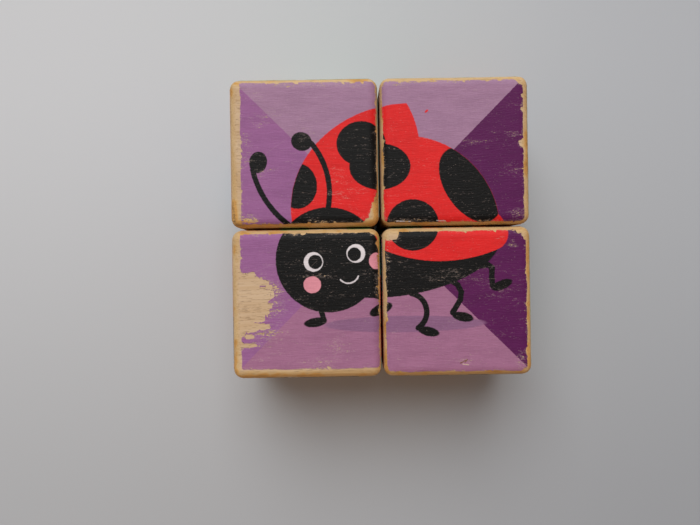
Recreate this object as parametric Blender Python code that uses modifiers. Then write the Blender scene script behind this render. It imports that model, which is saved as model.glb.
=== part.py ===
"""Four-block picture puzzle: wooden cubes in a two by two square, with a printed film on every face.

Run with blender --background --python part.py, or from Blender's text editor.
Metres, +X right, +Y back, +Z up. The origin is on the table, under the point where the four blocks meet.
Each block carries one quarter of six pictures, one on each of its faces.
Three blocks tip over their outer bottom edge, a quarter turn, to bring another face to the top.
"""

import math

import bmesh
import bpy
from mathutils import Matrix, Vector

# The wooden block.
BLOCK_SIDE = 0.040
EDGE_RADIUS = 0.0025

# The printed film on each face. It reaches onto the rounded edges and stops short of its neighbours.
FILM_THICKNESS = 0.00008
FILM_SEAT = 0.00003
FILM_CORNER_RADIUS = 0.0035
BARE_ARC = 0.0003

# Air between the films of two blocks that stand side by side.
BLOCK_GAP = 0.0004

ROUNDING_SEGMENTS = 5
CORNER_SEGMENTS = 5
SMOOTH_ANGLE = math.radians(30)
WELD_DISTANCE = 1e-7

FILM_RISE = FILM_SEAT + FILM_THICKNESS
BLOCK_HALF = BLOCK_SIDE / 2
OUTER_HALF = BLOCK_HALF + FILM_RISE
BLOCK_PITCH = 2 * OUTER_HALF + BLOCK_GAP

COLLECTION_NAME = "four_block_picture_puzzle"

# Block name: its column and row, and the way it tips. The block that stays has no tip direction.
BLOCKS = {
    "front_left": {"column": -1, "row": -1, "tips_to": None},
    "front_right": {"column": 1, "row": -1, "tips_to": Vector((1, 0, 0))},
    "back_left": {"column": -1, "row": 1, "tips_to": Vector((-1, 0, 0))},
    "back_right": {"column": 1, "row": 1, "tips_to": Vector((0, 1, 0))},
}

# Face name: the outward normal, the way up of the picture on it, and the colour of that picture's ground.
FACES = {
    "top": {"normal": (0, 0, 1), "picture_up": (0, 1, 0), "colour": (0.34, 0.15, 0.33)},
    "bottom": {"normal": (0, 0, -1), "picture_up": (0, 1, 0), "colour": (0.05, 0.24, 0.42)},
    "front": {"normal": (0, -1, 0), "picture_up": (0, 0, 1), "colour": (0.62, 0.36, 0.05)},
    "back": {"normal": (0, 1, 0), "picture_up": (0, 0, 1), "colour": (0.14, 0.36, 0.12)},
    "left": {"normal": (-1, 0, 0), "picture_up": (0, 0, 1), "colour": (0.58, 0.16, 0.10)},
    "right": {"normal": (1, 0, 0), "picture_up": (0, 0, 1), "colour": (0.05, 0.34, 0.36)},
}

WOOD_COLOUR = (0.58, 0.41, 0.22)
WOOD_ROUGHNESS = 0.62
FILM_ROUGHNESS = 0.48


def clear_scene():
    for obj in list(bpy.data.objects):
        bpy.data.objects.remove(obj, do_unlink=True)


def new_collection(name):
    collection = bpy.data.collections.new(name)
    bpy.context.scene.collection.children.link(collection)
    return collection


def new_material(name, colour, roughness):
    material = bpy.data.materials.new(name)
    material.use_nodes = True
    shader = material.node_tree.nodes["Principled BSDF"]
    shader.inputs["Base Color"].default_value = (*colour, 1.0)
    shader.inputs["Roughness"].default_value = roughness
    shader.inputs["Metallic"].default_value = 0.0
    material.diffuse_color = (*colour, 1.0)
    return material


def move_to(collection, obj):
    for current in list(obj.users_collection):
        current.objects.unlink(obj)
    collection.objects.link(obj)


def rounded_cube(name, collection, half, radius):
    """A cube with all twelve edges rounded, centred on its origin."""
    bpy.ops.mesh.primitive_cube_add(size=2 * half, location=(0, 0, 0))
    cube = bpy.context.active_object
    cube.name = name
    move_to(collection, cube)
    bevel = cube.modifiers.new("rounded_edges", "BEVEL")
    bevel.width = radius
    bevel.segments = ROUNDING_SEGMENTS
    bevel.limit_method = "NONE"
    return cube


def film_reach():
    """Half the width of a film in plan: the flat of the face and its share of the rounding."""
    bare_angle = BARE_ARC / EDGE_RADIUS
    wrap_angle = (math.pi / 2 - bare_angle) / 2
    return BLOCK_HALF - EDGE_RADIUS + EDGE_RADIUS * math.sin(wrap_angle)


def film_window(collection):
    """The upright prism that a film's outline is cut with: a square with rounded corners."""
    reach = film_reach()
    floor = BLOCK_HALF - EDGE_RADIUS
    ceiling = OUTER_HALF + EDGE_RADIUS
    bpy.ops.mesh.primitive_cube_add(size=1, location=(0, 0, 0))
    window = bpy.context.active_object
    window.name = "film_window"
    move_to(collection, window)
    window.data.transform(Matrix.Diagonal((2 * reach, 2 * reach, ceiling - floor, 1)))
    window.data.transform(Matrix.Translation((0, 0, (floor + ceiling) / 2)))
    body = bmesh.new()
    body.from_mesh(window.data)
    upright = [edge for edge in body.edges if abs(edge.verts[0].co.z - edge.verts[1].co.z) > EDGE_RADIUS]
    bmesh.ops.bevel(
        body,
        geom=upright,
        offset=FILM_CORNER_RADIUS,
        segments=CORNER_SEGMENTS,
        profile=0.5,
        affect="EDGES",
    )
    body.to_mesh(window.data)
    body.free()
    return window


def as_cutter(obj):
    obj.hide_render = True
    obj.display_type = "WIRE"
    return obj


def weld(mesh):
    body = bmesh.new()
    body.from_mesh(mesh)
    bmesh.ops.remove_doubles(body, verts=body.verts, dist=WELD_DISTANCE)
    body.to_mesh(mesh)
    body.free()


def film_mesh(cutters):
    """One film over the top face: the skin between two rounded cubes, inside the window's outline."""
    skin = rounded_cube("film_outside", cutters, OUTER_HALF, EDGE_RADIUS + FILM_RISE)
    inside = rounded_cube("film_inside", cutters, BLOCK_HALF + FILM_SEAT, EDGE_RADIUS + FILM_SEAT)
    window = film_window(cutters)
    for name, operation, cutter in (("outline", "INTERSECT", window), ("hollow", "DIFFERENCE", inside)):
        boolean = skin.modifiers.new(name, "BOOLEAN")
        boolean.operation = operation
        boolean.object = as_cutter(cutter)
    bpy.context.view_layer.update()
    graph = bpy.context.evaluated_depsgraph_get()
    mesh = bpy.data.meshes.new_from_object(skin.evaluated_get(graph))
    mesh.name = "film"
    bpy.data.objects.remove(skin, do_unlink=True)
    weld(mesh)
    mesh.shade_smooth()
    mesh.set_sharp_from_angle(angle=SMOOTH_ANGLE)
    return mesh


def face_rotation(face):
    """Turns a film made over the top face, picture up along +Y, onto the face."""
    normal = Vector(face["normal"])
    up = Vector(face["picture_up"])
    across = up.cross(normal)
    return Matrix((across, up, normal)).transposed().to_4x4()


def block_centre(place):
    return Vector((place["column"] * BLOCK_PITCH / 2, place["row"] * BLOCK_PITCH / 2, OUTER_HALF))


def pivot_point(place):
    """Where the block's empty goes: on the tipping axis, the centre line of its outer bottom rounding."""
    centre = block_centre(place)
    if place["tips_to"] is None:
        return centre
    arm = BLOCK_HALF - EDGE_RADIUS
    return centre + place["tips_to"] * arm - Vector((0, 0, arm))


def add_block(name, place, wood, parts):
    """The wooden block, parented to an empty on the axis that it tips about. Returns the empty."""
    pivot = bpy.data.objects.new(name + "_pivot", None)
    pivot.empty_display_size = EDGE_RADIUS
    pivot.location = pivot_point(place)
    parts.objects.link(pivot)

    block = rounded_cube(name + "_block", parts, BLOCK_HALF, EDGE_RADIUS)
    block.data.materials.append(wood)
    block.data.shade_smooth()
    block.location = block_centre(place) - pivot.location
    block.parent = pivot
    return pivot


def add_films(name, place, pivot, film, inks, parts):
    """One film on each face of a block, parented to the block's empty."""
    for face_name, face in FACES.items():
        printed = bpy.data.objects.new(f"{name}_{face_name}_print", film.copy())
        printed.data.materials.clear()
        printed.data.materials.append(inks[face_name])
        parts.objects.link(printed)
        printed.matrix_local = Matrix.Translation(block_centre(place) - pivot.location) @ face_rotation(face)
        printed.parent = pivot


def main():
    clear_scene()
    parts = new_collection(COLLECTION_NAME)
    cutters = new_collection("cutters")
    wood = new_material("block_wood", WOOD_COLOUR, WOOD_ROUGHNESS)
    inks = {
        face_name: new_material(face_name + "_picture", face["colour"], FILM_ROUGHNESS)
        for face_name, face in FACES.items()
    }
    film = film_mesh(cutters)
    for name, place in BLOCKS.items():
        pivot = add_block(name, place, wood, parts)
        add_films(name, place, pivot, film, inks, parts)


main()
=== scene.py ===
# Four wooden picture blocks: sanded timber with rounded edges, and a worn printed picture on each face
import math
import random
import bpy
from mathutils import Matrix, Vector, noise


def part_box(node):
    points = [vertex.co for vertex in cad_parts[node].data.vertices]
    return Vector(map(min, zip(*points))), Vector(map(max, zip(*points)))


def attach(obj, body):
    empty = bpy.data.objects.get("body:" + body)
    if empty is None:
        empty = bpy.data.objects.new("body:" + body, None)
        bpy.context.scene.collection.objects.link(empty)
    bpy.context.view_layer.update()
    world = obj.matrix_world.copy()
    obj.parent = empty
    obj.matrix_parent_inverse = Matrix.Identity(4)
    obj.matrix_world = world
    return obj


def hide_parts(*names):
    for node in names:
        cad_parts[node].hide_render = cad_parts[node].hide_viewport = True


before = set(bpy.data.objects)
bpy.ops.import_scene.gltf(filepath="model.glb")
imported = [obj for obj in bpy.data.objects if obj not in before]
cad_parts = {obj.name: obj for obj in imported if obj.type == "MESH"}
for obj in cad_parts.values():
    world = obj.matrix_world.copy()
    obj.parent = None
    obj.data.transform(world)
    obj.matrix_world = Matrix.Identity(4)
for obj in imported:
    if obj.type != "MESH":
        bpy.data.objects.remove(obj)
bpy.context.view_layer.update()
mm = 0.001

blockNames = ["front_left", "front_right", "back_left", "back_right"]
faces = {  # outward normal, and the way up of the picture on it
    "top": {"normal": (0, 0, 1), "up": (0, 1, 0)},
    "bottom": {"normal": (0, 0, -1), "up": (0, 1, 0)},
    "front": {"normal": (0, -1, 0), "up": (0, 0, 1)},
    "back": {"normal": (0, 1, 0), "up": (0, 0, 1)},
    "left": {"normal": (-1, 0, 0), "up": (0, 0, 1)},
    "right": {"normal": (1, 0, 0), "up": (0, 0, 1)},
}

blockBoxes = {name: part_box(name + "_block") for name in blockNames}
middles = {name: (low + high) / 2 for name, (low, high) in blockBoxes.items()}
blockLow, blockHigh = blockBoxes["front_left"]
half = (blockHigh.x - blockLow.x) / 2
pitchHalf = abs(middles["front_left"].x)  # from the set's centre to a block's centre
print("frame loaded, block side", round(2 * half / mm, 2), "mm")


def feed(tree, socket, value):
    if isinstance(value, bpy.types.NodeSocket):
        tree.links.new(value, socket)
    else:
        socket.default_value = value


def maths(tree, operation, first, second=0.0, third=0.0, clamp=False):
    node = tree.nodes.new("ShaderNodeMath")
    node.operation = operation
    node.use_clamp = clamp
    for socket, value in zip(node.inputs, (first, second, third)):
        feed(tree, socket, value)
    return node.outputs[0]


def vectorMaths(tree, operation, first, second=(0, 0, 0)):
    node = tree.nodes.new("ShaderNodeVectorMath")
    node.operation = operation
    feed(tree, node.inputs[0], first)
    feed(tree, node.inputs[1], second)
    return node.outputs["Value" if operation in ("LENGTH", "DOT_PRODUCT") else "Vector"]


def ranged(tree, value, fromLow, fromHigh, toLow=0.0, toHigh=1.0):
    node = tree.nodes.new("ShaderNodeMapRange")
    node.interpolation_type = "SMOOTHSTEP"
    for socket, number in zip(node.inputs[:5], (value, fromLow, fromHigh, toLow, toHigh)):
        feed(tree, socket, number)
    return node.outputs[0]


def blended(tree, amount, under, over, mode="MIX"):
    node = tree.nodes.new("ShaderNodeMix")
    node.data_type = "RGBA"
    node.blend_type = mode
    feed(tree, node.inputs[0], amount)
    feed(tree, node.inputs[6], under)
    feed(tree, node.inputs[7], over)
    return node.outputs[2]


def speckle(tree, place, stretch, detail=2.0, roughness=0.5):
    node = tree.nodes.new("ShaderNodeTexNoise")
    node.inputs["Scale"].default_value = 1.0
    node.inputs["Detail"].default_value = detail
    node.inputs["Roughness"].default_value = roughness
    feed(tree, node.inputs["Vector"], vectorMaths(tree, "MULTIPLY", place, stretch))
    return node.outputs["Fac"]


def newGroup(name, inputs, outputs):
    group = bpy.data.node_groups.new(name, "ShaderNodeTree")
    for label, kind in inputs.items():
        group.interface.new_socket(name=label, in_out="INPUT", socket_type="NodeSocket" + kind)
    for label, kind in outputs.items():
        group.interface.new_socket(name=label, in_out="OUTPUT", socket_type="NodeSocket" + kind)
    return group, group.nodes.new("NodeGroupInput").outputs, group.nodes.new("NodeGroupOutput").inputs


def useGroup(tree, group, values):
    node = tree.nodes.new("ShaderNodeGroup")
    node.node_tree = group
    for label, value in values.items():
        feed(tree, node.inputs[label], value)
    return node.outputs


def attribute(tree, name, output="Vector"):
    node = tree.nodes.new("ShaderNodeAttribute")
    node.attribute_name = name
    return node.outputs[output]


# printed shapes are masks in the picture's own millimetres
inkEdge = 0.12  # how far an ink's edge bleeds


def edged(tree, depth):
    return ranged(tree, depth, -inkEdge, inkEdge)


def turnedBack(tree, offset, turn):
    node = tree.nodes.new("ShaderNodeVectorRotate")
    node.rotation_type = "Z_AXIS"
    feed(tree, node.inputs["Vector"], offset)
    feed(tree, node.inputs["Angle"], maths(tree, "MULTIPLY", turn, -1.0))
    return node.outputs[0]


def partsOf(tree, vector):
    node = tree.nodes.new("ShaderNodeSeparateXYZ")
    feed(tree, node.inputs[0], vector)
    return node.outputs


def ovalGroup():
    group, given, out = newGroup(
        "inkOval",
        {"Place": "Vector", "Centre": "Vector", "Size": "Vector", "Turn": "Float"},
        {"Inside": "Float"},
    )
    offset = vectorMaths(group, "SUBTRACT", given["Place"], given["Centre"])
    turned = turnedBack(group, offset, given["Turn"])
    reach = vectorMaths(group, "LENGTH", vectorMaths(group, "DIVIDE", turned, given["Size"]))
    sizes = partsOf(group, given["Size"])
    narrow = maths(group, "MINIMUM", sizes[0], sizes[1])
    depth = maths(group, "MULTIPLY", maths(group, "SUBTRACT", 1.0, reach), narrow)
    feed(group, out["Inside"], edged(group, depth))
    return group


def strokeGroup():
    group, given, out = newGroup(
        "inkStroke",
        {"Place": "Vector", "Start": "Vector", "End": "Vector", "Width": "Float"},
        {"Inside": "Float"},
    )
    run = vectorMaths(group, "SUBTRACT", given["End"], given["Start"])
    offset = vectorMaths(group, "SUBTRACT", given["Place"], given["Start"])
    along = maths(
        group,
        "DIVIDE",
        vectorMaths(group, "DOT_PRODUCT", offset, run),
        vectorMaths(group, "DOT_PRODUCT", run, run),
        clamp=True,
    )
    onLine = group.nodes.new("ShaderNodeVectorMath")
    onLine.operation = "SCALE"
    feed(group, onLine.inputs[0], run)
    feed(group, onLine.inputs["Scale"], along)
    away = vectorMaths(group, "LENGTH", vectorMaths(group, "SUBTRACT", offset, onLine.outputs[0]))
    feed(group, out["Inside"], edged(group, maths(group, "SUBTRACT", given["Width"], away)))
    return group


def arcGroup():
    group, given, out = newGroup(
        "inkArc",
        {"Place": "Vector", "Centre": "Vector", "Radius": "Float", "Width": "Float",
         "Facing": "Float", "Spread": "Float"},
        {"Inside": "Float"},
    )
    offset = vectorMaths(group, "SUBTRACT", given["Place"], given["Centre"])
    parts = partsOf(group, turnedBack(group, offset, given["Facing"]))
    angle = maths(group, "ABSOLUTE", maths(group, "ARCTAN2", parts[1], parts[0]))
    fromCentre = vectorMaths(group, "LENGTH", offset)
    away = maths(group, "ABSOLUTE", maths(group, "SUBTRACT", fromCentre, given["Radius"]))
    beyond = maths(group, "MULTIPLY", maths(group, "SUBTRACT", angle, given["Spread"]), given["Radius"])
    past = maths(group, "MAXIMUM", beyond, 0.0)
    squares = maths(group, "ADD", maths(group, "POWER", away, 2.0), maths(group, "POWER", past, 2.0))
    reach = maths(group, "SQRT", squares)
    feed(group, out["Inside"], edged(group, maths(group, "SUBTRACT", given["Width"], reach)))
    return group


def sectorGroup():
    # the picture's ground: four triangles that meet a little above its middle
    group, given, out = newGroup(
        "groundSectors",
        {"Place": "Vector", "Above": "Color", "Below": "Color", "Left": "Color", "Right": "Color"},
        {"Color": "Color"},
    )
    across, upward, _ = partsOf(group, vectorMaths(group, "SUBTRACT", given["Place"], (0, 0.6, 0)))
    steep = maths(group, "SUBTRACT", maths(group, "ABSOLUTE", across), maths(group, "ABSOLUTE", upward))
    sides = blended(group, edged(group, across), given["Left"], given["Right"])
    poles = blended(group, edged(group, upward), given["Below"], given["Above"])
    feed(group, out["Color"], blended(group, edged(group, steep), poles, sides))
    return group


timber = {
    "pale": (0.69, 0.50, 0.325, 1),
    "warm": (0.57, 0.375, 0.205, 1),
    "rim": (1.04, 0.98, 0.76, 1),  # what handling does to the colour of the rounded edges
    "oiledAndShaded": (0.98, 0.78, 0.47, 1),  # and more in the handling patches, and painted warm shade on the front and right rims, away from the window
    "pore": (0.26, 0.14, 0.07, 1),
    "grimeAndShade": (0.13, 0.075, 0.035, 1),
    "ringSpacing": 3.1,  # mm
    "relief": 0.06 * mm,
    "specular": 0.30,
}


def timberGroup():
    # Place is in the log's own millimetres: X runs along the grain, and the pith is on the X axis
    group, given, out = newGroup(
        "sandedTimber",
        {"Place": "Vector", "GrimeAndShade": "Float"},
        {"Color": "Color", "Roughness": "Float", "Height": "Float"},
    )
    place = given["Place"]
    grimeAndShade = given["GrimeAndShade"]
    rings = group.nodes.new("ShaderNodeTexWave")
    rings.wave_type = "RINGS"
    rings.rings_direction = "X"
    rings.inputs["Scale"].default_value = math.pi / 10 / timber["ringSpacing"]
    rings.inputs["Distortion"].default_value = 2.4
    rings.inputs["Detail"].default_value = 2.0
    rings.inputs["Detail Scale"].default_value = 0.35
    feed(group, rings.inputs["Vector"], vectorMaths(group, "MULTIPLY", place, (0.12, 1, 1)))
    fibres = speckle(group, place, (0.07, 1.9, 1.9), detail=5.0, roughness=0.62)
    clouds = speckle(group, place, (0.03, 0.16, 0.16), detail=2.0)
    pores = ranged(group, speckle(group, place, (0.45, 7.0, 7.0), detail=1.0), 0.63, 0.72)
    tone = maths(group, "MULTIPLY_ADD", rings.outputs["Fac"], 0.17, maths(group, "MULTIPLY", fibres, 0.95))
    tone = maths(group, "MULTIPLY_ADD", clouds, 0.5, tone)
    colour = blended(group, ranged(group, tone, 0.50, 1.15), timber["pale"], timber["warm"])
    colour = blended(group, maths(group, "MULTIPLY", pores, 0.45), colour, timber["pore"])
    colour = blended(group, ranged(group, grimeAndShade, 0.0, 0.2), colour, timber["rim"], "MULTIPLY")
    # painted warm shade on the front and right rims comes in here, along with the handling patches
    colour = blended(group, ranged(group, grimeAndShade, 0.2, 0.4), colour, timber["oiledAndShaded"], "MULTIPLY")
    dirt = maths(group, "MULTIPLY", ranged(group, grimeAndShade, 0.35, 1.1), ranged(group, fibres, 0.38, 0.62))
    colour = blended(group, dirt, colour, timber["grimeAndShade"])
    feed(group, out["Color"], colour)
    feed(group, out["Roughness"], ranged(group, fibres, 0.2, 0.8, 0.55, 0.72))
    feed(group, out["Height"], maths(group, "SUBTRACT", fibres, maths(group, "MULTIPLY", pores, 0.8)))
    return group


def wearGroup():
    # Wear 0 is a sound print, 1 is rubbed down to the timber. Streaks of it run along the grain
    group, given, out = newGroup(
        "wornInk",
        {"Place": "Vector", "Wear": "Float"},
        {"Bare": "Float", "Thin": "Float", "Mottle": "Float", "Height": "Float"},
    )
    place = given["Place"]
    streaks = speckle(group, place, (0.16, 0.95, 0.95), detail=4.0, roughness=0.6)
    fine = speckle(group, place, (1.0, 3.6, 3.6), detail=2.0)
    specks = speckle(group, place, (2.4, 2.7, 2.7), detail=1.0)
    cover = maths(group, "MULTIPLY_ADD", streaks, 0.42, maths(group, "MULTIPLY", fine, 0.33))
    cover = maths(group, "MULTIPLY_ADD", specks, 0.25, cover)
    over = maths(group, "SUBTRACT", maths(group, "MULTIPLY_ADD", given["Wear"], 0.46, 0.29), cover)
    bare = ranged(group, over, -0.015, 0.02)
    lines = speckle(group, place, (0.3, 2.6, 2.6), detail=4.0, roughness=0.7)
    weave = speckle(group, place, (2.2, 0.5, 0.5), detail=2.0)
    nearBare = ranged(group, over, -0.12, 0.0, 0.0, 0.9)
    thin = maths(group, "MAXIMUM", nearBare, ranged(group, lines, 0.64, 0.74, 0.0, 0.8))
    thin = maths(group, "MAXIMUM", thin, ranged(group, specks, 0.72, 0.78, 0.0, 1.0))
    mottle = speckle(group, place, (0.10, 0.32, 0.32), detail=5.0, roughness=0.65)
    mottle = maths(group, "MULTIPLY_ADD", lines, 0.35, maths(group, "MULTIPLY", mottle, 0.5))
    feed(group, out["Bare"], bare)
    feed(group, out["Thin"], thin)
    feed(group, out["Mottle"], maths(group, "MULTIPLY_ADD", weave, 0.15, mottle))
    coat = maths(group, "SUBTRACT", 1.0, bare)
    height = maths(group, "MULTIPLY_ADD", lines, 0.8, maths(group, "MULTIPLY", coat, 0.5))
    feed(group, out["Height"], maths(group, "MULTIPLY_ADD", fine, 0.35, height))
    return group


groups = {
    "oval": ovalGroup(),
    "stroke": strokeGroup(),
    "arc": arcGroup(),
    "sectors": sectorGroup(),
    "timber": timberGroup(),
    "wear": wearGroup(),
}
print("node groups made")


def newMaterial(name):
    material = bpy.data.materials.new(name)
    material.use_nodes = True
    return material, material.node_tree, material.node_tree.nodes["Principled BSDF"]


def reliefOf(tree, height, distance):
    bump = tree.nodes.new("ShaderNodeBump")
    bump.inputs["Strength"].default_value = 1.0
    bump.inputs["Distance"].default_value = distance
    feed(tree, bump.inputs["Height"], height)
    return bump.outputs["Normal"]


def woodAt(tree, place):
    return useGroup(tree, groups["timber"], {"Place": place, "GrimeAndShade": attribute(tree, "grimeAndShade", "Fac")})


def timberMaterial():
    material, tree, shader = newMaterial("sandedTimber")
    wood = woodAt(tree, attribute(tree, "log"))
    feed(tree, shader.inputs["Base Color"], wood["Color"])
    feed(tree, shader.inputs["Roughness"], wood["Roughness"])
    shader.inputs["Specular IOR Level"].default_value = timber["specular"]
    feed(tree, shader.inputs["Normal"], reliefOf(tree, wood["Height"], timber["relief"]))
    return material


inks = {
    "black": (0.004, 0.004, 0.004, 1),
    "white": (0.86, 0.80, 0.82, 1),
    "red": (0.84, 0.022, 0.022, 1),
    "pink": (0.85, 0.33, 0.40, 1),
    "orange": (0.80, 0.22, 0.02, 1),
    "yellow": (0.80, 0.52, 0.04, 1),
    "cream": (0.80, 0.66, 0.42, 1),
    "brown": (0.20, 0.08, 0.03, 1),
    "leaf": (0.16, 0.42, 0.06, 1),
    "moss": (0.05, 0.20, 0.04, 1),
    "sky": (0.35, 0.60, 0.72, 1),
    "navy": (0.02, 0.05, 0.16, 1),
    "dusk": (0.30, 0.14, 0.26, 1),
}


def shape(kind, ink, values, name=None, within=None):
    return {"kind": kind, "ink": ink, "name": name, "within": within, "values": values}


def oval(ink, x, y, width, height, turn=0, name=None, within=None):
    # width and height are from the middle, in mm, and turn is in degrees
    values = {"Centre": (x, y, 0), "Size": (width, height, 1), "Turn": math.radians(turn)}
    return shape("oval", ink, values, name, within)


def limit(name, x, y, width, height, turn=0):
    # an oval that isn't printed: other shapes are kept within it
    return oval(None, x, y, width, height, turn, name)


def stroke(ink, start, end, width):
    return shape("stroke", ink, {"Start": (*start, 0), "End": (*end, 0), "Width": width})


def arc(ink, x, y, radius, width, fromTurn, toTurn):
    values = {
        "Centre": (x, y, 0),
        "Radius": radius,
        "Width": width,
        "Facing": math.radians((fromTurn + toTurn) / 2),
        "Spread": math.radians(abs(toTurn - fromTurn) / 2),
    }
    return shape("arc", ink, values)


def dot(ink, x, y, size):
    return oval(ink, x, y, size, size)


def eye(x, y, size, lookX=0.0, lookY=0.0):
    return [dot("white", x, y, size), dot("black", x + lookX, y + lookY, size * 0.73)]


def line(ink, width, *points):
    return [stroke(ink, start, end, width) for start, end in zip(points, points[1:])]


ladybird = [
    oval("dusk", 6, -26.1, 21.5, 2.2),
    oval("black", 5, -7, 27, 11.5, turn=8),
    limit("farEdge", -13.6, 20.8, 24.3, 24.3),
    oval("red", 8, 5, 32, 28, name="farWing", within="farEdge"),
    limit("nearEdge", 16.2, 29.6, 39, 39),
    oval("red", 6.1, -1.2, 25.8, 25.6, name="nearWing", within="nearEdge"),
    oval("red", 25.2, -0.6, 9.2, 6.4, turn=-20, within="nearEdge"),
    oval("black", -22.2, 11.3, 5.3, 6.1, within="farWing"),
    oval("black", -4.9, 22.4, 6.6, 6),
    oval("black", 0, 16.2, 8.2, 6.2),
    oval("black", 24.1, 10.9, 11.2, 6.7, turn=-57, within="nearWing"),
    oval("black", 8.6, 0.4, 7, 6.9),
    oval("black", -14.2, -8.6, 14.1, 14.1),
    arc("black", -9.5, 21, 25.1, 0.72, 192, 232),
    oval("black", -32.6, 17.8, 2.4, 2.9, turn=-10),
    arc("black", -34.5, 9.5, 20.9, 0.72, -11, 39),
    oval("black", -20.9, 23.2, 2.8, 2.5, turn=-18),
    *eye(-18.2, -9.1, 2.6, 0.5, 0),
    *eye(-6.8, -7, 2.5, -0.4, -0.2),
    oval("pink", -18.6, -15.2, 2.35, 2.25),
    oval("pink", -1.4, -9.1, 1.9, 2.2),
    arc("white", -8.9, -12.1, 2.85, 0.19, 222, 340),
    *line("black", 0.75, (-16.6, -21), (-15.6, -24.8)),
    oval("black", -17.9, -25.3, 3.1, 1.25, turn=8),
    *line("black", 0.75, (-3, -17.8), (0.2, -19.1)),
    oval("black", -0.3, -22.1, 3.3, 1.45, turn=24),
    arc("black", 6.9, -22.9, 5.05, 0.75, -58, 78),
    oval("black", 12.4, -28.2, 2.9, 1.25, turn=-14),
    *line("black", 0.75, (18.6, -14.6), (20.4, -15.9), (21.3, -17.8), (21, -19.8), (18.9, -23.2)),
    oval("black", 21.6, -24.4, 2.9, 1.25, turn=-12),
    *line("black", 0.75, (25, -11), (28.6, -10.6), (29.6, -11.4), (29.5, -14), (29.7, -16.2)),
    oval("black", 32.2, -16, 2.95, 1.25, turn=21),
    oval("red", 12.7, 30.8, 0.55, 0.28, turn=42),
    stroke("white", (4.3, 1.5), (8, 1.4), 0.1),
    stroke("white", (15, 1.5), (17.4, 1.4), 0.08),
    *line("brown", 0.14, (20.8, -36.8), (22.6, -35.9), (22.0, -36.6)),
    stroke("cream", (21.4, -37.1), (23, -37.3), 0.08),
]

bubbles = ((-31, 14, 2.4), (-27, 22, 1.8), (-33, 28, 3.0), (30, -29, 2.2))
weeds = ((-30, 3), (-24, -3), (18, 3), (25, -2))
fish = [
    oval("orange", 25, 9, 6, 11, turn=-38),
    oval("orange", 25, -7, 6, 11, turn=38),
    oval("yellow", 2, 17, 12, 6, turn=-12),
    oval("orange", -3, 1, 24, 17, name="body"),
    oval("cream", 3, 1, 3.2, 22, within="body"),
    oval("cream", 15, 1, 2.6, 22, within="body"),
    oval("yellow", 4, -4, 7, 4, turn=-25),
    *eye(-15, 5, 3.4, -0.4, 0),
    arc("white", -19, -3.5, 3, 0.3, 250, 350),
    oval("pink", -10, -4, 2.2, 2),
    *[dot("sky", *bubble) for bubble in bubbles],
    *[stroke("leaf", (x, -37), (x + lean, -22), 1.3) for x, lean in weeds],
]

grassBlades = ((-33, 2), (-20, -2), (-4, 2), (14, -1), (31, 2))
snail = [
    *[stroke("moss", (x, -37), (x + lean, -29), 0.8) for x, lean in grassBlades],
    stroke("cream", (-24, -20), (31, -22), 4.6),
    stroke("cream", (-25, -18), (-27, 4), 5.2),
    oval("cream", -27, 6, 8, 7.4),
    *line("cream", 1.1, (-30, 10), (-33, 21)),
    *line("cream", 1.1, (-24, 10), (-22, 22)),
    *eye(-33.3, 22.5, 2.8, -0.3, 0),
    *eye(-21.8, 23.5, 2.8, -0.3, 0),
    arc("brown", -28, 4.5, 3, 0.3, 215, 325),
    oval("pink", -22.4, 3.4, 1.8, 1.6),
    oval("orange", 8, 2, 22, 21),
    arc("brown", 8, 2, 16.5, 1.2, -160, 110),
    arc("brown", 8, 3, 10.5, 1.1, -70, 200),
    arc("brown", 8, 2.4, 5.4, 1.0, -200, 60),
]

bee = [
    oval("sky", 2, 21, 7.5, 14, turn=18),
    oval("sky", 15, 19, 6.5, 12, turn=-14),
    stroke("black", (28, -6), (35, -8), 1.1),
    oval("yellow", 6, -4, 25, 16.5, turn=-5, name="body"),
    oval("black", 4, -4, 3.2, 22, within="body"),
    oval("black", 15, -5, 3.0, 22, within="body"),
    oval("black", 26, -6, 2.8, 22, within="body"),
    oval("black", -19, -2, 12.5, 12.2),
    arc("black", -34, 12, 12, 0.7, -10, 55),
    oval("black", -27, 22.5, 2.3, 2.2),
    arc("black", -24, 12, 12, 0.7, 0, 60),
    oval("black", -17.5, 23, 2.3, 2.2),
    *eye(-24, 0, 2.7, -0.2, -0.2),
    *eye(-14, 0.5, 2.7, 0.2, -0.2),
    arc("white", -19, -4, 3, 0.28, 215, 325),
    oval("pink", -26, -6, 2, 1.8),
    oval("pink", -12, -5.6, 2, 1.8),
]

bodyRings = [(29 - 10.5 * step, step % 2) for step in range(5)]
petals = [(18 + 6 * math.cos(turn), 18 + 6 * math.sin(turn)) for turn in (0.3, 1.56, 2.81, 4.07, 5.33)]
caterpillar = [
    *[stroke("black", (x, -15), (x - 1, -25), 0.8) for x, raised in bodyRings],
    *[dot("leaf" if raised else "moss", x, -13 + 3.5 * raised, 8) for x, raised in bodyRings],
    oval("red", -24, 2, 12, 11.6),
    arc("black", -38, 16, 12, 0.6, -20, 40),
    oval("yellow", -29, 25, 2.3, 2.3),
    arc("black", -30, 16, 12, 0.6, -15, 45),
    oval("yellow", -20, 25.5, 2.3, 2.3),
    *eye(-28.5, 4, 2.8, 0, -0.3),
    *eye(-19.5, 4, 2.8, 0, -0.3),
    arc("black", -24, -0.4, 3.2, 0.3, 215, 325),
    *[dot("cream", *petal, 4) for petal in petals],
    oval("yellow", 18, 18, 3.2, 3.2),
    stroke("leaf", (18, 12), (18, 0), 0.8),
]

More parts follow.
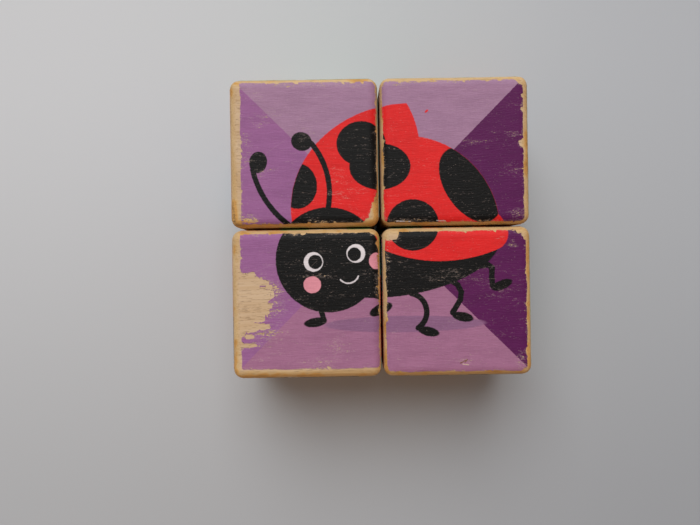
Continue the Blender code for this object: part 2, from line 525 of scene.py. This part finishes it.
wingDots = [
    (side * x, y, size)
    for side in (-1, 1)
    for x, y, size in ((20, 17, 2.6), (13, 10, 2.0), (13, -17, 2.2))
]
butterfly = [
    oval("navy", -15, 13, 17, 12, turn=-32),
    oval("navy", 15, 13, 17, 12, turn=32),
    oval("sky", -15, 13.5, 13, 8.6, turn=-32),
    oval("sky", 15, 13.5, 13, 8.6, turn=32),
    oval("navy", -12, -13, 11, 13, turn=-28),
    oval("navy", 12, -13, 11, 13, turn=28),
    oval("yellow", -12, -13, 7.4, 9.4, turn=-28),
    oval("yellow", 12, -13, 7.4, 9.4, turn=28),
    *[dot("white", *wingDot) for wingDot in wingDots],
    stroke("black", (0, 12), (0, -20), 3.2),
    oval("black", 0, 15, 5, 4.8),
    arc("black", -12, 18, 12, 0.6, 0, 60),
    arc("black", 12, 18, 12, 0.6, 120, 180),
    oval("black", -6.5, 29, 1.9, 1.9),
    oval("black", 6.5, 29, 1.9, 1.9),
    *eye(-2, 16, 1.4),
    *eye(2, 16, 1.4),
    arc("white", 0, 13.6, 1.8, 0.2, 215, 325),
]

pictures = {
    "top": {
        "shapes": ladybird,
        "Above": (0.42, 0.235, 0.37, 1),
        "Left": (0.36, 0.14, 0.33, 1),
        "Right": (0.115, 0.012, 0.095, 1),
        "Below": (0.41, 0.175, 0.30, 1),
    },
    "bottom": {
        "shapes": fish,
        "Above": (0.20, 0.46, 0.62, 1),
        "Left": (0.07, 0.30, 0.52, 1),
        "Right": (0.02, 0.12, 0.34, 1),
        "Below": (0.12, 0.36, 0.56, 1),
    },
    "front": {
        "shapes": bee,
        "Above": (0.80, 0.54, 0.18, 1),
        "Left": (0.74, 0.40, 0.07, 1),
        "Right": (0.52, 0.20, 0.02, 1),
        "Below": (0.78, 0.44, 0.12, 1),
    },
    "back": {
        "shapes": snail,
        "Above": (0.40, 0.58, 0.24, 1),
        "Left": (0.20, 0.42, 0.10, 1),
        "Right": (0.07, 0.22, 0.05, 1),
        "Below": (0.30, 0.50, 0.16, 1),
    },
    "left": {
        "shapes": butterfly,
        "Above": (0.76, 0.38, 0.24, 1),
        "Left": (0.66, 0.22, 0.11, 1),
        "Right": (0.36, 0.06, 0.04, 1),
        "Below": (0.72, 0.31, 0.18, 1),
    },
    "right": {
        "shapes": caterpillar,
        "Above": (0.30, 0.56, 0.54, 1),
        "Left": (0.10, 0.38, 0.38, 1),
        "Right": (0.02, 0.17, 0.20, 1),
        "Below": (0.20, 0.48, 0.46, 1),
    },
}


def pictureColour(tree, picture, place):
    # the ground first, then each shape laid over what is under it
    ground = {label: picture[label] for label in ("Above", "Below", "Left", "Right")}
    colour = useGroup(tree, groups["sectors"], {"Place": place, **ground})["Color"]
    masks = {}
    for layer in picture["shapes"]:
        mask = useGroup(tree, groups[layer["kind"]], {"Place": place, **layer["values"]})["Inside"]
        if layer["within"]:
            mask = maths(tree, "MULTIPLY", mask, masks[layer["within"]])
        if layer["name"]:
            masks[layer["name"]] = mask
        if layer["ink"]:
            colour = blended(tree, mask, colour, inks[layer["ink"]])
    return colour


inkLook = {
    "wander": (0.26, 0.26, 0),  # mm that the ink's edges stray
    "scratches": 28,
    "mottled": (0.60, 0.56, 0.60, 1),
    "dry": (0.66, 0.52, 0.46, 1),
    "dryness": 0.22,
    "specular": 0.17,
    "relief": 0.13 * mm,
}


def scuffMask(tree, seed, place):
    # short dry scratches, most of them along the grain
    chance = random.Random(seed)
    mask = None
    for _ in range(inkLook["scratches"]):
        x, y = chance.uniform(-37, 37), chance.uniform(-37, 37)
        length, turn = chance.uniform(1, 6), math.radians(chance.gauss(4, 22))
        end = (x + length * math.cos(turn), y + length * math.sin(turn), 0)
        values = {"Place": place, "Start": (x, y, 0), "End": end, "Width": chance.uniform(-0.04, 0.02)}
        scratch = useGroup(tree, groups["stroke"], values)["Inside"]
        mask = maths(tree, "MAXIMUM", mask, scratch) if mask else scratch
    return mask


def inkMaterial(faceName, picture):
    material, tree, shader = newMaterial(faceName + "PictureInk")
    log = attribute(tree, "log")
    rag = tree.nodes.new("ShaderNodeTexNoise")
    rag.inputs["Scale"].default_value = 1.6
    rag.inputs["Detail"].default_value = 2.0
    feed(tree, rag.inputs["Vector"], log)
    stray = vectorMaths(tree, "SUBTRACT", rag.outputs["Color"], (0.5, 0.5, 0.5))
    stray = vectorMaths(tree, "MULTIPLY", stray, inkLook["wander"])
    place = vectorMaths(tree, "ADD", attribute(tree, "picture"), stray)
    wood = woodAt(tree, log)
    worn = useGroup(tree, groups["wear"], {"Place": log, "Wear": attribute(tree, "wear", "Fac")})
    ink = pictureColour(tree, picture, place)
    mottle = ranged(tree, worn["Mottle"], 0.40, 0.62, 0.0, 0.34)
    ink = blended(tree, mottle, ink, inkLook["mottled"], "MULTIPLY")
    dry = maths(tree, "MAXIMUM", worn["Thin"], scuffMask(tree, faceName, place))
    ink = blended(tree, maths(tree, "MULTIPLY", dry, inkLook["dryness"]), ink, inkLook["dry"])
    feed(tree, shader.inputs["Base Color"], blended(tree, worn["Bare"], ink, wood["Color"]))
    feed(tree, shader.inputs["Roughness"], ranged(tree, worn["Bare"], 0.0, 1.0, 0.50, 0.66))
    shader.inputs["Specular IOR Level"].default_value = inkLook["specular"]
    feed(tree, shader.inputs["Normal"], reliefOf(tree, worn["Height"], inkLook["relief"]))
    return material


timberFinish = timberMaterial()
inkFinishes = {faceName: inkMaterial(faceName, picture) for faceName, picture in pictures.items()}
print("materials made")


def onlySelect(thing):
    bpy.ops.object.select_all(action="DESELECT")
    thing.select_set(True)
    bpy.context.view_layer.objects.active = thing


def applyModifiers(thing):
    onlySelect(thing)
    for modifier in list(thing.modifiers):
        bpy.ops.object.modifier_apply(modifier=modifier.name)


def storeVectors(mesh, name, values):
    layer = mesh.attributes.new(name, "FLOAT_VECTOR", "POINT")
    layer.data.foreach_set("vector", [number for value in values for number in value])


def storeNumbers(mesh, name, values):
    layer = mesh.attributes.new(name, "FLOAT", "POINT")
    layer.data.foreach_set("value", values)


blockLook = {
    "rounding": 2.5 * mm,
    "cuts": 9,
    "roundingSegments": 6,
    "unevenness": 0.10 * mm,
    "dentReach": 1.5 * mm,
    "dentDepth": 0.30 * mm,
    "dents": 14,
}
logs = {  # where each block was cut: the pith from its middle, in mm, and the grain's slope in degrees
    "back_left": {"pith": (12, -22, -64), "slope": 1.5},
    "back_right": {"pith": (70, 31, -58), "slope": -1.0},
    "front_left": {"pith": (-44, 12, -72), "slope": -0.8},
    "front_right": {"pith": (120, -34, -52), "slope": 1.8},
}


def logPlace(name, point):
    # a point's place in the log that its block was cut from, in mm
    log = logs[name]
    lean = Matrix.Rotation(math.radians(log["slope"]), 3, "Z")
    return lean @ ((point - middles[name]) / mm) - Vector(log["pith"])


def dentBlock(block, middle, seed):
    # small knocks along the edges
    chance = random.Random(seed)
    knocks = []
    for _ in range(blockLook["dents"]):
        spot = Vector([chance.choice((-1, 1)) * half for _ in range(3)])
        spot[chance.randrange(3)] *= chance.uniform(-1, 1)
        knocks.append((middle + spot, chance.uniform(0.4, 1.0)))
    for vertex in block.data.vertices:
        for spot, force in knocks:
            reach = blockLook["dentReach"] * (0.6 + force)
            near = 1 - (vertex.co - spot).length / reach
            if near > 0:
                vertex.co += (middle - spot).normalized() * blockLook["dentDepth"] * force * near * near * 2


grimeAndShadeLook = {
    "cloud": 6 * mm,
    "fleck": 1.6 * mm,
    "rimStart": 0.87,  # of the way from the block's middle to its side
    "rimRise": 9,
    "least": 0.2,
    "shadedSide": 0.2,  # painted shade: more towards the front and the right, the rims away from the window
    "patches": 1.9,
}


def grimeAndShadeAt(name, point, middle):
    # handling dirt gathers in patches on the rounded edges, and painted shade darkens and warms the rims
    # towards the front and the right
    offset = (point - middle) / half
    rim = sorted(abs(part) for part in offset)[1]
    patch = noise.noise(point / grimeAndShadeLook["cloud"] + Vector((0, 0, blockNames.index(name)))) * 0.5 + 0.5
    patch += noise.noise(point / grimeAndShadeLook["fleck"]) * 0.25
    edge = max(0.0, min(1.0, (rim - grimeAndShadeLook["rimStart"]) * grimeAndShadeLook["rimRise"]))
    # painted shade: the front and right rims, away from the window, get more
    shadedSide = max(0.0, -offset.y, offset.x * (0.2 if middle.y > 0 else 1.0))
    patches = grimeAndShadeLook["patches"] * max(0.0, patch - 0.50)
    return edge * (grimeAndShadeLook["least"] + grimeAndShadeLook["shadedSide"] * shadedSide + patches)


def makeBlock(name, seed):
    middle = middles[name]
    bpy.ops.object.select_all(action="DESELECT")
    bpy.ops.mesh.primitive_cube_add(size=2 * half, location=middle)
    block = bpy.context.active_object
    block.name = name + "_timber"
    bpy.ops.object.transform_apply(location=True, rotation=True, scale=True)
    bpy.ops.object.mode_set(mode="EDIT")
    bpy.ops.mesh.select_all(action="SELECT")
    bpy.ops.mesh.subdivide(number_cuts=blockLook["cuts"])
    bpy.ops.mesh.select_all(action="DESELECT")
    bpy.ops.mesh.select_mode(type="EDGE")
    bpy.ops.mesh.edges_select_sharp(sharpness=math.radians(60))
    bpy.ops.mesh.bevel(
        offset=blockLook["rounding"],
        offset_type="OFFSET",
        segments=blockLook["roundingSegments"],
        profile=0.5,
        clamp_overlap=True,
    )
    bpy.ops.object.mode_set(mode="OBJECT")
    finer = block.modifiers.new("finer", "SUBSURF")
    finer.subdivision_type = "SIMPLE"
    finer.levels = 2
    finer.render_levels = 2
    ripple = bpy.data.textures.new(name + "_unevenness", "CLOUDS")
    ripple.noise_scale = 12 * mm
    ripple.noise_depth = 2
    uneven = block.modifiers.new("uneven", "DISPLACE")
    uneven.texture = ripple
    uneven.texture_coords = "LOCAL"
    uneven.strength = blockLook["unevenness"]
    uneven.mid_level = 1.0  # only ever inwards
    applyModifiers(block)
    dentBlock(block, middle, seed)
    block.data.shade_smooth()
    storeVectors(block.data, "log", [logPlace(name, vertex.co) for vertex in block.data.vertices])
    storeNumbers(block.data, "grimeAndShade", [grimeAndShadeAt(name, vertex.co, middle) for vertex in block.data.vertices])
    block.data.materials.append(timberFinish)
    return block


filmLook = {
    "seat": 0.035 * mm,
    "thickness": 0.045 * mm,
    "topSpacing": 0.42 * mm,
    "spacing": 0.85 * mm,
    "cornerRadius": 2.9,  # mm, less the wider of the corner's two margins
    "leastRadius": 0.6,  # mm
    "leastMargin": 0.4,  # mm
    "sideMargin": 1.9,  # mm, on the faces that aren't on top
    "wander": 0.30,  # mm that the print's edge strays
    "rimTest": 0.05,  # mm between the places that tell which way the edge lies
}
topMargins = {  # bare timber outside the picture, from the block's sides, in mm
    "back_left": {"left": 3.05, "right": 0.55, "bottom": 0.95, "top": 1.25},
    "back_right": {"left": 0.70, "right": 1.75, "bottom": 0.85, "top": 1.35},
    "front_left": {"left": 2.50, "right": 0.55, "bottom": 2.60, "top": 1.10},
    "front_right": {"left": 0.90, "right": 1.50, "bottom": 1.30, "top": 1.05},
}


def chip(x, y, width, height, turn=0):
    return {"centre": Vector((x, y)), "size": (width, height), "turn": math.radians(turn)}


topChips = {  # places where the print has come off, in the picture's mm
    "back_left": [
        chip(-0.9, 4.2, 1.9, 5.6, turn=-10), chip(-2.4, 1.6, 3.4, 1.0, turn=12),
        chip(-39.2, 20.5, 2.0, 2.6),
    ],
    "back_right": [
        chip(38.9, 21.8, 1.7, 1.2), chip(38.9, 38.7, 3.4, 1.6, turn=-38),
        chip(1.0, 40.2, 9.0, 1.7, turn=16),
    ],
    "front_left": [
        chip(-38.6, -20.4, 9.2, 8.7), chip(-34.5, -13.9, 6.6, 1.1, turn=-12),
        chip(-0.3, -10.9, 0.8, 0.6), chip(-36.0, -31.2, 4.6, 0.5, turn=3), chip(-1.0, -0.6, 2.2, 1.5),
    ],
    "front_right": [
        chip(2.2, -1.7, 2.9, 2.1, turn=-10), chip(38.4, -1.2, 6.0, 2.2, turn=-40),
        chip(0.2, -6.6, 0.9, 1.8),
    ],
}
rubs = {  # softer wear that thins the print, and how strong it is
    "back_left": [
        (chip(-36.4, 21, 2.2, 6), 0.24), (chip(-34, 35, 3, 2.2), 0.16),
        (chip(-35, 2.4, 2.6, 1.4), 0.40), (chip(-5.4, 37.7, 3, 1.2), 0.26),
        (chip(-29.5, 30.6, 5, 1.4, turn=14), 0.19), (chip(-33, 27.6, 2.2, 1), 0.22),
        (chip(-31, 15, 4, 1.2), 0.16), (chip(-12, 1.2, 9, 0.8), 0.30), (chip(-11, 11, 4, 4), 0.13),
        (chip(-21, 38.5, 15, 0.8), 0.27), (chip(-21, 25, 4, 2, turn=-20), 0.15),
    ],
    "back_right": [
        (chip(25, 22.6, 3, 0.8), 0.22), (chip(36, 24.4, 2.4, 1.4), 0.20), (chip(36.4, 3, 2, 1.6), 0.25),
        (chip(7, 1.4, 6, 0.8), 0.34), (chip(16.3, 1.2, 2, 0.5), 0.34), (chip(35, 15, 3, 1.6), 0.14),
        (chip(15, 38.4, 13, 0.8), 0.27),
    ],
    "front_left": [
        (chip(-30, -16.6, 4.4, 2.4), 0.30), (chip(-29, -21, 3.4, 4), 0.27),
        (chip(-31, -27.6, 4.4, 2.2), 0.30), (chip(-29, -31, 6, 3, turn=38), 0.15),
        (chip(-19, -13.4, 6, 1.2), 0.13), (chip(-12, -32.5, 4, 3.4), 0.17),
        (chip(-17, -36.6, 4, 1.4), 0.24), (chip(-20, -1.2, 18, 0.7), 0.26),
        (chip(-1, -16, 1, 3.4), 0.30),
    ],
    "front_right": [
        (chip(19, -13.6, 9, 1.6), 0.15), (chip(31, -17.5, 5, 2), 0.13), (chip(35.4, -5, 1.3, 1), 0.30),
        (chip(22.1, -36.2, 2.2, 0.9), 0.24), (chip(1.2, -9, 1.1, 5), 0.26),
        (chip(37.4, -36.4, 1.6, 2.6), 0.26), (chip(16, -1, 14, 0.7), 0.24),
    ],
}


def inChip(spot, place):
    # below 1 inside the chip
    offset = place - spot["centre"]
    turned = Matrix.Rotation(-spot["turn"], 2) @ offset
    return math.hypot(turned.x / spot["size"][0], turned.y / spot["size"][1])


def sideMargins(name, faceName):
    chance = random.Random(name + faceName)
    least = filmLook["sideMargin"]
    return {side: least + chance.uniform(0.0, 0.5) for side in ("left", "right", "bottom", "top")}


def sideChips(name, faceName, corner):
    # knocks along the edges and rubbed spots on the faces that aren't on top
    chance = random.Random(faceName + name)
    reach = half / mm
    chips = []
    softer = []
    for _ in range(chance.randint(2, 4)):
        spot = Vector((chance.choice((-1, 1)) * reach, chance.uniform(-1, 1) * reach))
        if chance.random() < 0.5:
            spot = Vector((spot.y, spot.x))
        chips.append(chip(*(corner + spot), chance.uniform(1.6, 3.6), chance.uniform(1.5, 2.8)))
    for _ in range(chance.randint(5, 8)):
        spot = Vector((chance.uniform(-1, 1) * reach, chance.uniform(-1, 1) * reach))
        rubbed = chip(*(corner + spot), chance.uniform(3, 8), chance.uniform(0.8, 2.4))
        softer.append((rubbed, chance.uniform(0.12, 0.27)))
    return chips, softer


def noiseAt(place, scaleX, scaleY, layer):
    return noise.noise(Vector((place.x * scaleX, place.y * scaleY, layer)))


def inkDepth(place, corner, margins, chips):
    # how far inside the print a place is, in mm; less than 0 is outside
    across, upward = place - corner
    reach = half / mm
    wander = filmLook["wander"] * noiseAt(place, 0.21, 0.21, 3.1)
    wander -= 1.5 * max(0.0, noiseAt(place, 0.8, 0.8, 7.7) - 0.22)  # bites out of the edge
    wander -= 0.9 * max(0.0, noiseAt(place, 1.9, 1.9, 5.2) - 0.25)  # and smaller ones
    sideMargin = margins["right" if across > 0 else "left"]
    endMargin = margins["top" if upward > 0 else "bottom"]
    sideways = reach - sideMargin - abs(across)
    updown = reach - endMargin - abs(upward)
    radius = max(filmLook["leastRadius"], filmLook["cornerRadius"] - max(sideMargin, endMargin))
    if sideways < radius and updown < radius:
        depth = radius - math.hypot(radius - sideways, radius - updown)
    else:
        depth = min(sideways, updown)
    depth = min(depth + wander, reach - filmLook["leastMargin"] - max(abs(across), abs(upward)))
    for spot in chips:
        ragged = 0.20 * noiseAt(place, 0.28, 1.3, 1.3)  # streaks along x
        ragged += 0.13 * noiseAt(place, 0.9, 3.4, 9.3)
        depth = min(depth, (inChip(spot, place) - 1 + ragged * 1.6) * min(spot["size"]))
    return depth


def inkWear(place, depth, softer):
    # 0.02 everywhere, more within 0.7 mm of the edge, and most in the rubbed spots
    wear = 0.02 + max(0.0, 0.30 * (1 - depth / 0.7))
    for spot, force in softer:
        fade = max(0.0, 1.5 - inChip(spot, place))
        wear = max(wear, 0.06 + force * min(1.0, fade))
    return min(1.0, wear)


def faceTurn(faceName):
    normal = Vector(faces[faceName]["normal"])
    up = Vector(faces[faceName]["up"])
    return Matrix((up.cross(normal), up, normal)).transposed()


def cutGrid(name, spacing, corner, depthAt):
    # a flat grid over the block's face, without the squares that lie outside the print
    squares = round(2 * half / spacing)
    bpy.ops.object.select_all(action="DESELECT")
    bpy.ops.mesh.primitive_grid_add(x_subdivisions=squares, y_subdivisions=squares, size=2 * half)
    film = bpy.context.active_object
    film.name = name
    depths = [depthAt(corner + vertex.co.xy / mm) for vertex in film.data.vertices]
    bpy.ops.object.mode_set(mode="EDIT")
    bpy.ops.mesh.select_mode(type="FACE")
    bpy.ops.object.mode_set(mode="OBJECT")
    for face in film.data.polygons:
        face.select = all(depths[index] < 0 for index in face.vertices)
    bpy.ops.object.mode_set(mode="EDIT")
    bpy.ops.mesh.delete(type="FACE")
    bpy.ops.object.mode_set(mode="OBJECT")
    return film


def drawInRim(mesh, spacing, corner, depthAt):
    # vertices outside the print move in to its edge, in two steps of at most one square
    small = filmLook["rimTest"]
    for vertex in mesh.vertices:
        for _ in range(2):
            place = corner + vertex.co.xy / mm
            depth = depthAt(place)
            if depth < 0:
                slopeX = (depthAt(place + Vector((small, 0))) - depth) / small
                slopeY = (depthAt(place + Vector((0, small))) - depth) / small
                steep = max(0.5, slopeX ** 2 + slopeY ** 2)
                pull = Vector((slopeX, slopeY, 0)) * (-depth / steep)
                if pull.length > spacing / mm:
                    pull *= spacing / mm / pull.length
                vertex.co += pull * mm
        vertex.co.z = half - blockLook["rounding"]


def layOnBlock(film, block):
    # from inside the block outwards onto its surface, then clear of it, then given its thickness
    wrap = film.modifiers.new("wrap", "SHRINKWRAP")
    wrap.target = block
    wrap.wrap_method = "PROJECT"
    wrap.use_project_z = True
    wrap.use_negative_direction = False
    wrap.use_positive_direction = True
    lift = film.modifiers.new("lift", "DISPLACE")
    lift.strength = filmLook["seat"]
    lift.mid_level = 0.0
    coat = film.modifiers.new("coat", "SOLIDIFY")
    coat.thickness = filmLook["thickness"]
    coat.offset = 1.0
    applyModifiers(film)
    bpy.ops.object.transform_apply(location=True, rotation=True, scale=True)
    bpy.ops.object.shade_smooth_by_angle(angle=math.radians(40))


def makeFilm(name, faceName, block):
    middle = middles[name]
    column = 1 if middle.x > 0 else -1
    row = 1 if middle.y > 0 else -1
    corner = Vector((column, row)) * pitchHalf / mm  # the block's middle in the picture
    if faceName == "top":
        margins, chips, softer = topMargins[name], topChips[name], rubs[name]
    else:
        margins = sideMargins(name, faceName)
        chips, softer = sideChips(name, faceName, corner)
    spacing = filmLook["topSpacing" if faceName == "top" else "spacing"]

    def depthAt(place):
        return inkDepth(place, corner, margins, chips)

    film = cutGrid(name + "_" + faceName + "_ink", spacing, corner, depthAt)
    mesh = film.data
    drawInRim(mesh, spacing, corner, depthAt)
    film.matrix_world = Matrix.Translation(middle) @ faceTurn(faceName).to_4x4()
    layOnBlock(film, block)

    toFace = faceTurn(faceName).transposed()
    flat = [corner + (toFace @ (vertex.co - middle)).xy / mm for vertex in mesh.vertices]
    storeVectors(mesh, "picture", [(*place, 0) for place in flat])
    storeVectors(mesh, "log", [logPlace(name, vertex.co) for vertex in mesh.vertices])
    storeNumbers(mesh, "wear", [inkWear(place, depthAt(place), softer) for place in flat])
    storeNumbers(mesh, "grimeAndShade", [grimeAndShadeAt(name, vertex.co, middle) for vertex in mesh.vertices])
    mesh.materials.append(inkFinishes[faceName])
    return film


for seed, name in enumerate(blockNames):
    block = makeBlock(name, seed)
    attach(block, name)
    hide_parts(name + "_block")
    for faceName in faces:
        film = makeFilm(name, faceName, block)
        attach(film, name)
        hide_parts(name + "_" + faceName + "_print")
    print("block finished:", name, len(block.data.polygons), "faces")


floorLook = {
    "dark": (0.625, 0.64, 0.665, 1),
    "pale": (0.655, 0.67, 0.695, 1),
    "paintedShadeRightward": (0.75, 0.765, 0.79, 1),  # painted shade: what is left of the tone, away from the window, to the right
    "paintedShadeForward": (0.71, 0.71, 0.71, 1),  # and painted shade towards the front
    "fade": (0.6, 0.15),  # m from the set's centre, from no change of tone to all of it
    "fadeX": (-0.13, 0.13),  # m along x
    "fadeY": (0.06, -0.12),  # m along y
    "roughness": 0.55,
}


def makeFloor():
    bpy.ops.object.select_all(action="DESELECT")
    bpy.ops.mesh.primitive_plane_add(size=6, location=(0, 0, 0))
    floor = bpy.context.active_object
    floor.name = "floor"
    material, tree, shader = newMaterial("paleTable")
    place = tree.nodes.new("ShaderNodeTexCoord").outputs["Object"]
    cloud = speckle(tree, place, (3, 3, 3), detail=3.0)
    tone = blended(tree, cloud, floorLook["dark"], floorLook["pale"])
    along = partsOf(tree, place)
    # painted shade: the floor darkens to the right and towards the front, away from the window
    near = ranged(tree, vectorMaths(tree, "LENGTH", place), *floorLook["fade"])
    paintedShadeRightward = maths(tree, "MULTIPLY", near, ranged(tree, along[0], *floorLook["fadeX"]))
    paintedShadeForward = maths(tree, "MULTIPLY", near, ranged(tree, along[1], *floorLook["fadeY"]))
    tone = blended(tree, paintedShadeRightward, tone, floorLook["paintedShadeRightward"], "MULTIPLY")
    tone = blended(tree, paintedShadeForward, tone, floorLook["paintedShadeForward"], "MULTIPLY")
    feed(tree, shader.inputs["Base Color"], tone)
    shader.inputs["Roughness"].default_value = floorLook["roughness"]
    floor.data.materials.append(material)


lightLook = {
    "energy": 2.3,
    "width": 46,  # degrees of sky that the window takes up
    "colour": (1.0, 0.99, 0.97),
    "aim": (0.08, -0.42, -0.58),  # the way the daylight travels
    "windowSide": (0.215, 0.265, 0.31, 1),
    "wallSide": (0.31, 0.205, 0.135, 1),
    "backdrop": (0.52, 0.53, 0.55, 1),
}


def makeSun():
    # a wide window stands in the back of the room, a little left of the blocks
    data = bpy.data.lights.new("window", "SUN")
    data.energy = lightLook["energy"]
    data.angle = math.radians(lightLook["width"])
    data.color = lightLook["colour"]
    light = bpy.data.objects.new("window", data)
    light.rotation_euler = Vector(lightLook["aim"]).to_track_quat("-Z", "Y").to_euler()
    bpy.context.scene.collection.objects.link(light)


def makeWorld():
    # cool daylight from the window's side of the room, and a warmer wall across from it
    world = bpy.data.worlds.new("room")
    bpy.context.scene.world = world
    world.use_nodes = True
    tree = world.node_tree
    parts = partsOf(tree, tree.nodes.new("ShaderNodeTexCoord").outputs["Generated"])
    wallward = maths(tree, "MULTIPLY_ADD", parts[0], 0.4, maths(tree, "MULTIPLY", parts[1], -0.9))
    wallward = ranged(tree, wallward, -0.5, 0.5)
    colour = blended(tree, wallward, lightLook["windowSide"], lightLook["wallSide"])
    seen = tree.nodes.new("ShaderNodeLightPath").outputs["Is Camera Ray"]
    colour = blended(tree, seen, colour, lightLook["backdrop"])
    feed(tree, tree.nodes["Background"].inputs["Color"], colour)


cameraLook = {
    "lens": 35.0,
    "frameWidth": 187.5,  # mm of the blocks' tops that the view takes in
    "aside": (-8.4, -9.4),  # mm from the set's centre to the point under the lens
    "roll": -0.9,  # degrees
}


def makeCamera():
    data = bpy.data.cameras.new("camera")
    data.lens = cameraLook["lens"]
    data.sensor_width = 36.0
    data.clip_start = 0.01
    camera = bpy.data.objects.new("camera", data)
    height = blockHigh.z + cameraLook["frameWidth"] * mm * data.lens / data.sensor_width
    camera.location = (cameraLook["aside"][0] * mm, cameraLook["aside"][1] * mm, height)
    camera.rotation_euler = (0, 0, math.radians(cameraLook["roll"]))
    bpy.context.scene.collection.objects.link(camera)
    bpy.context.scene.camera = camera


makeFloor()
makeSun()
makeWorld()
makeCamera()
bpy.context.scene.view_settings.view_transform = "Standard"
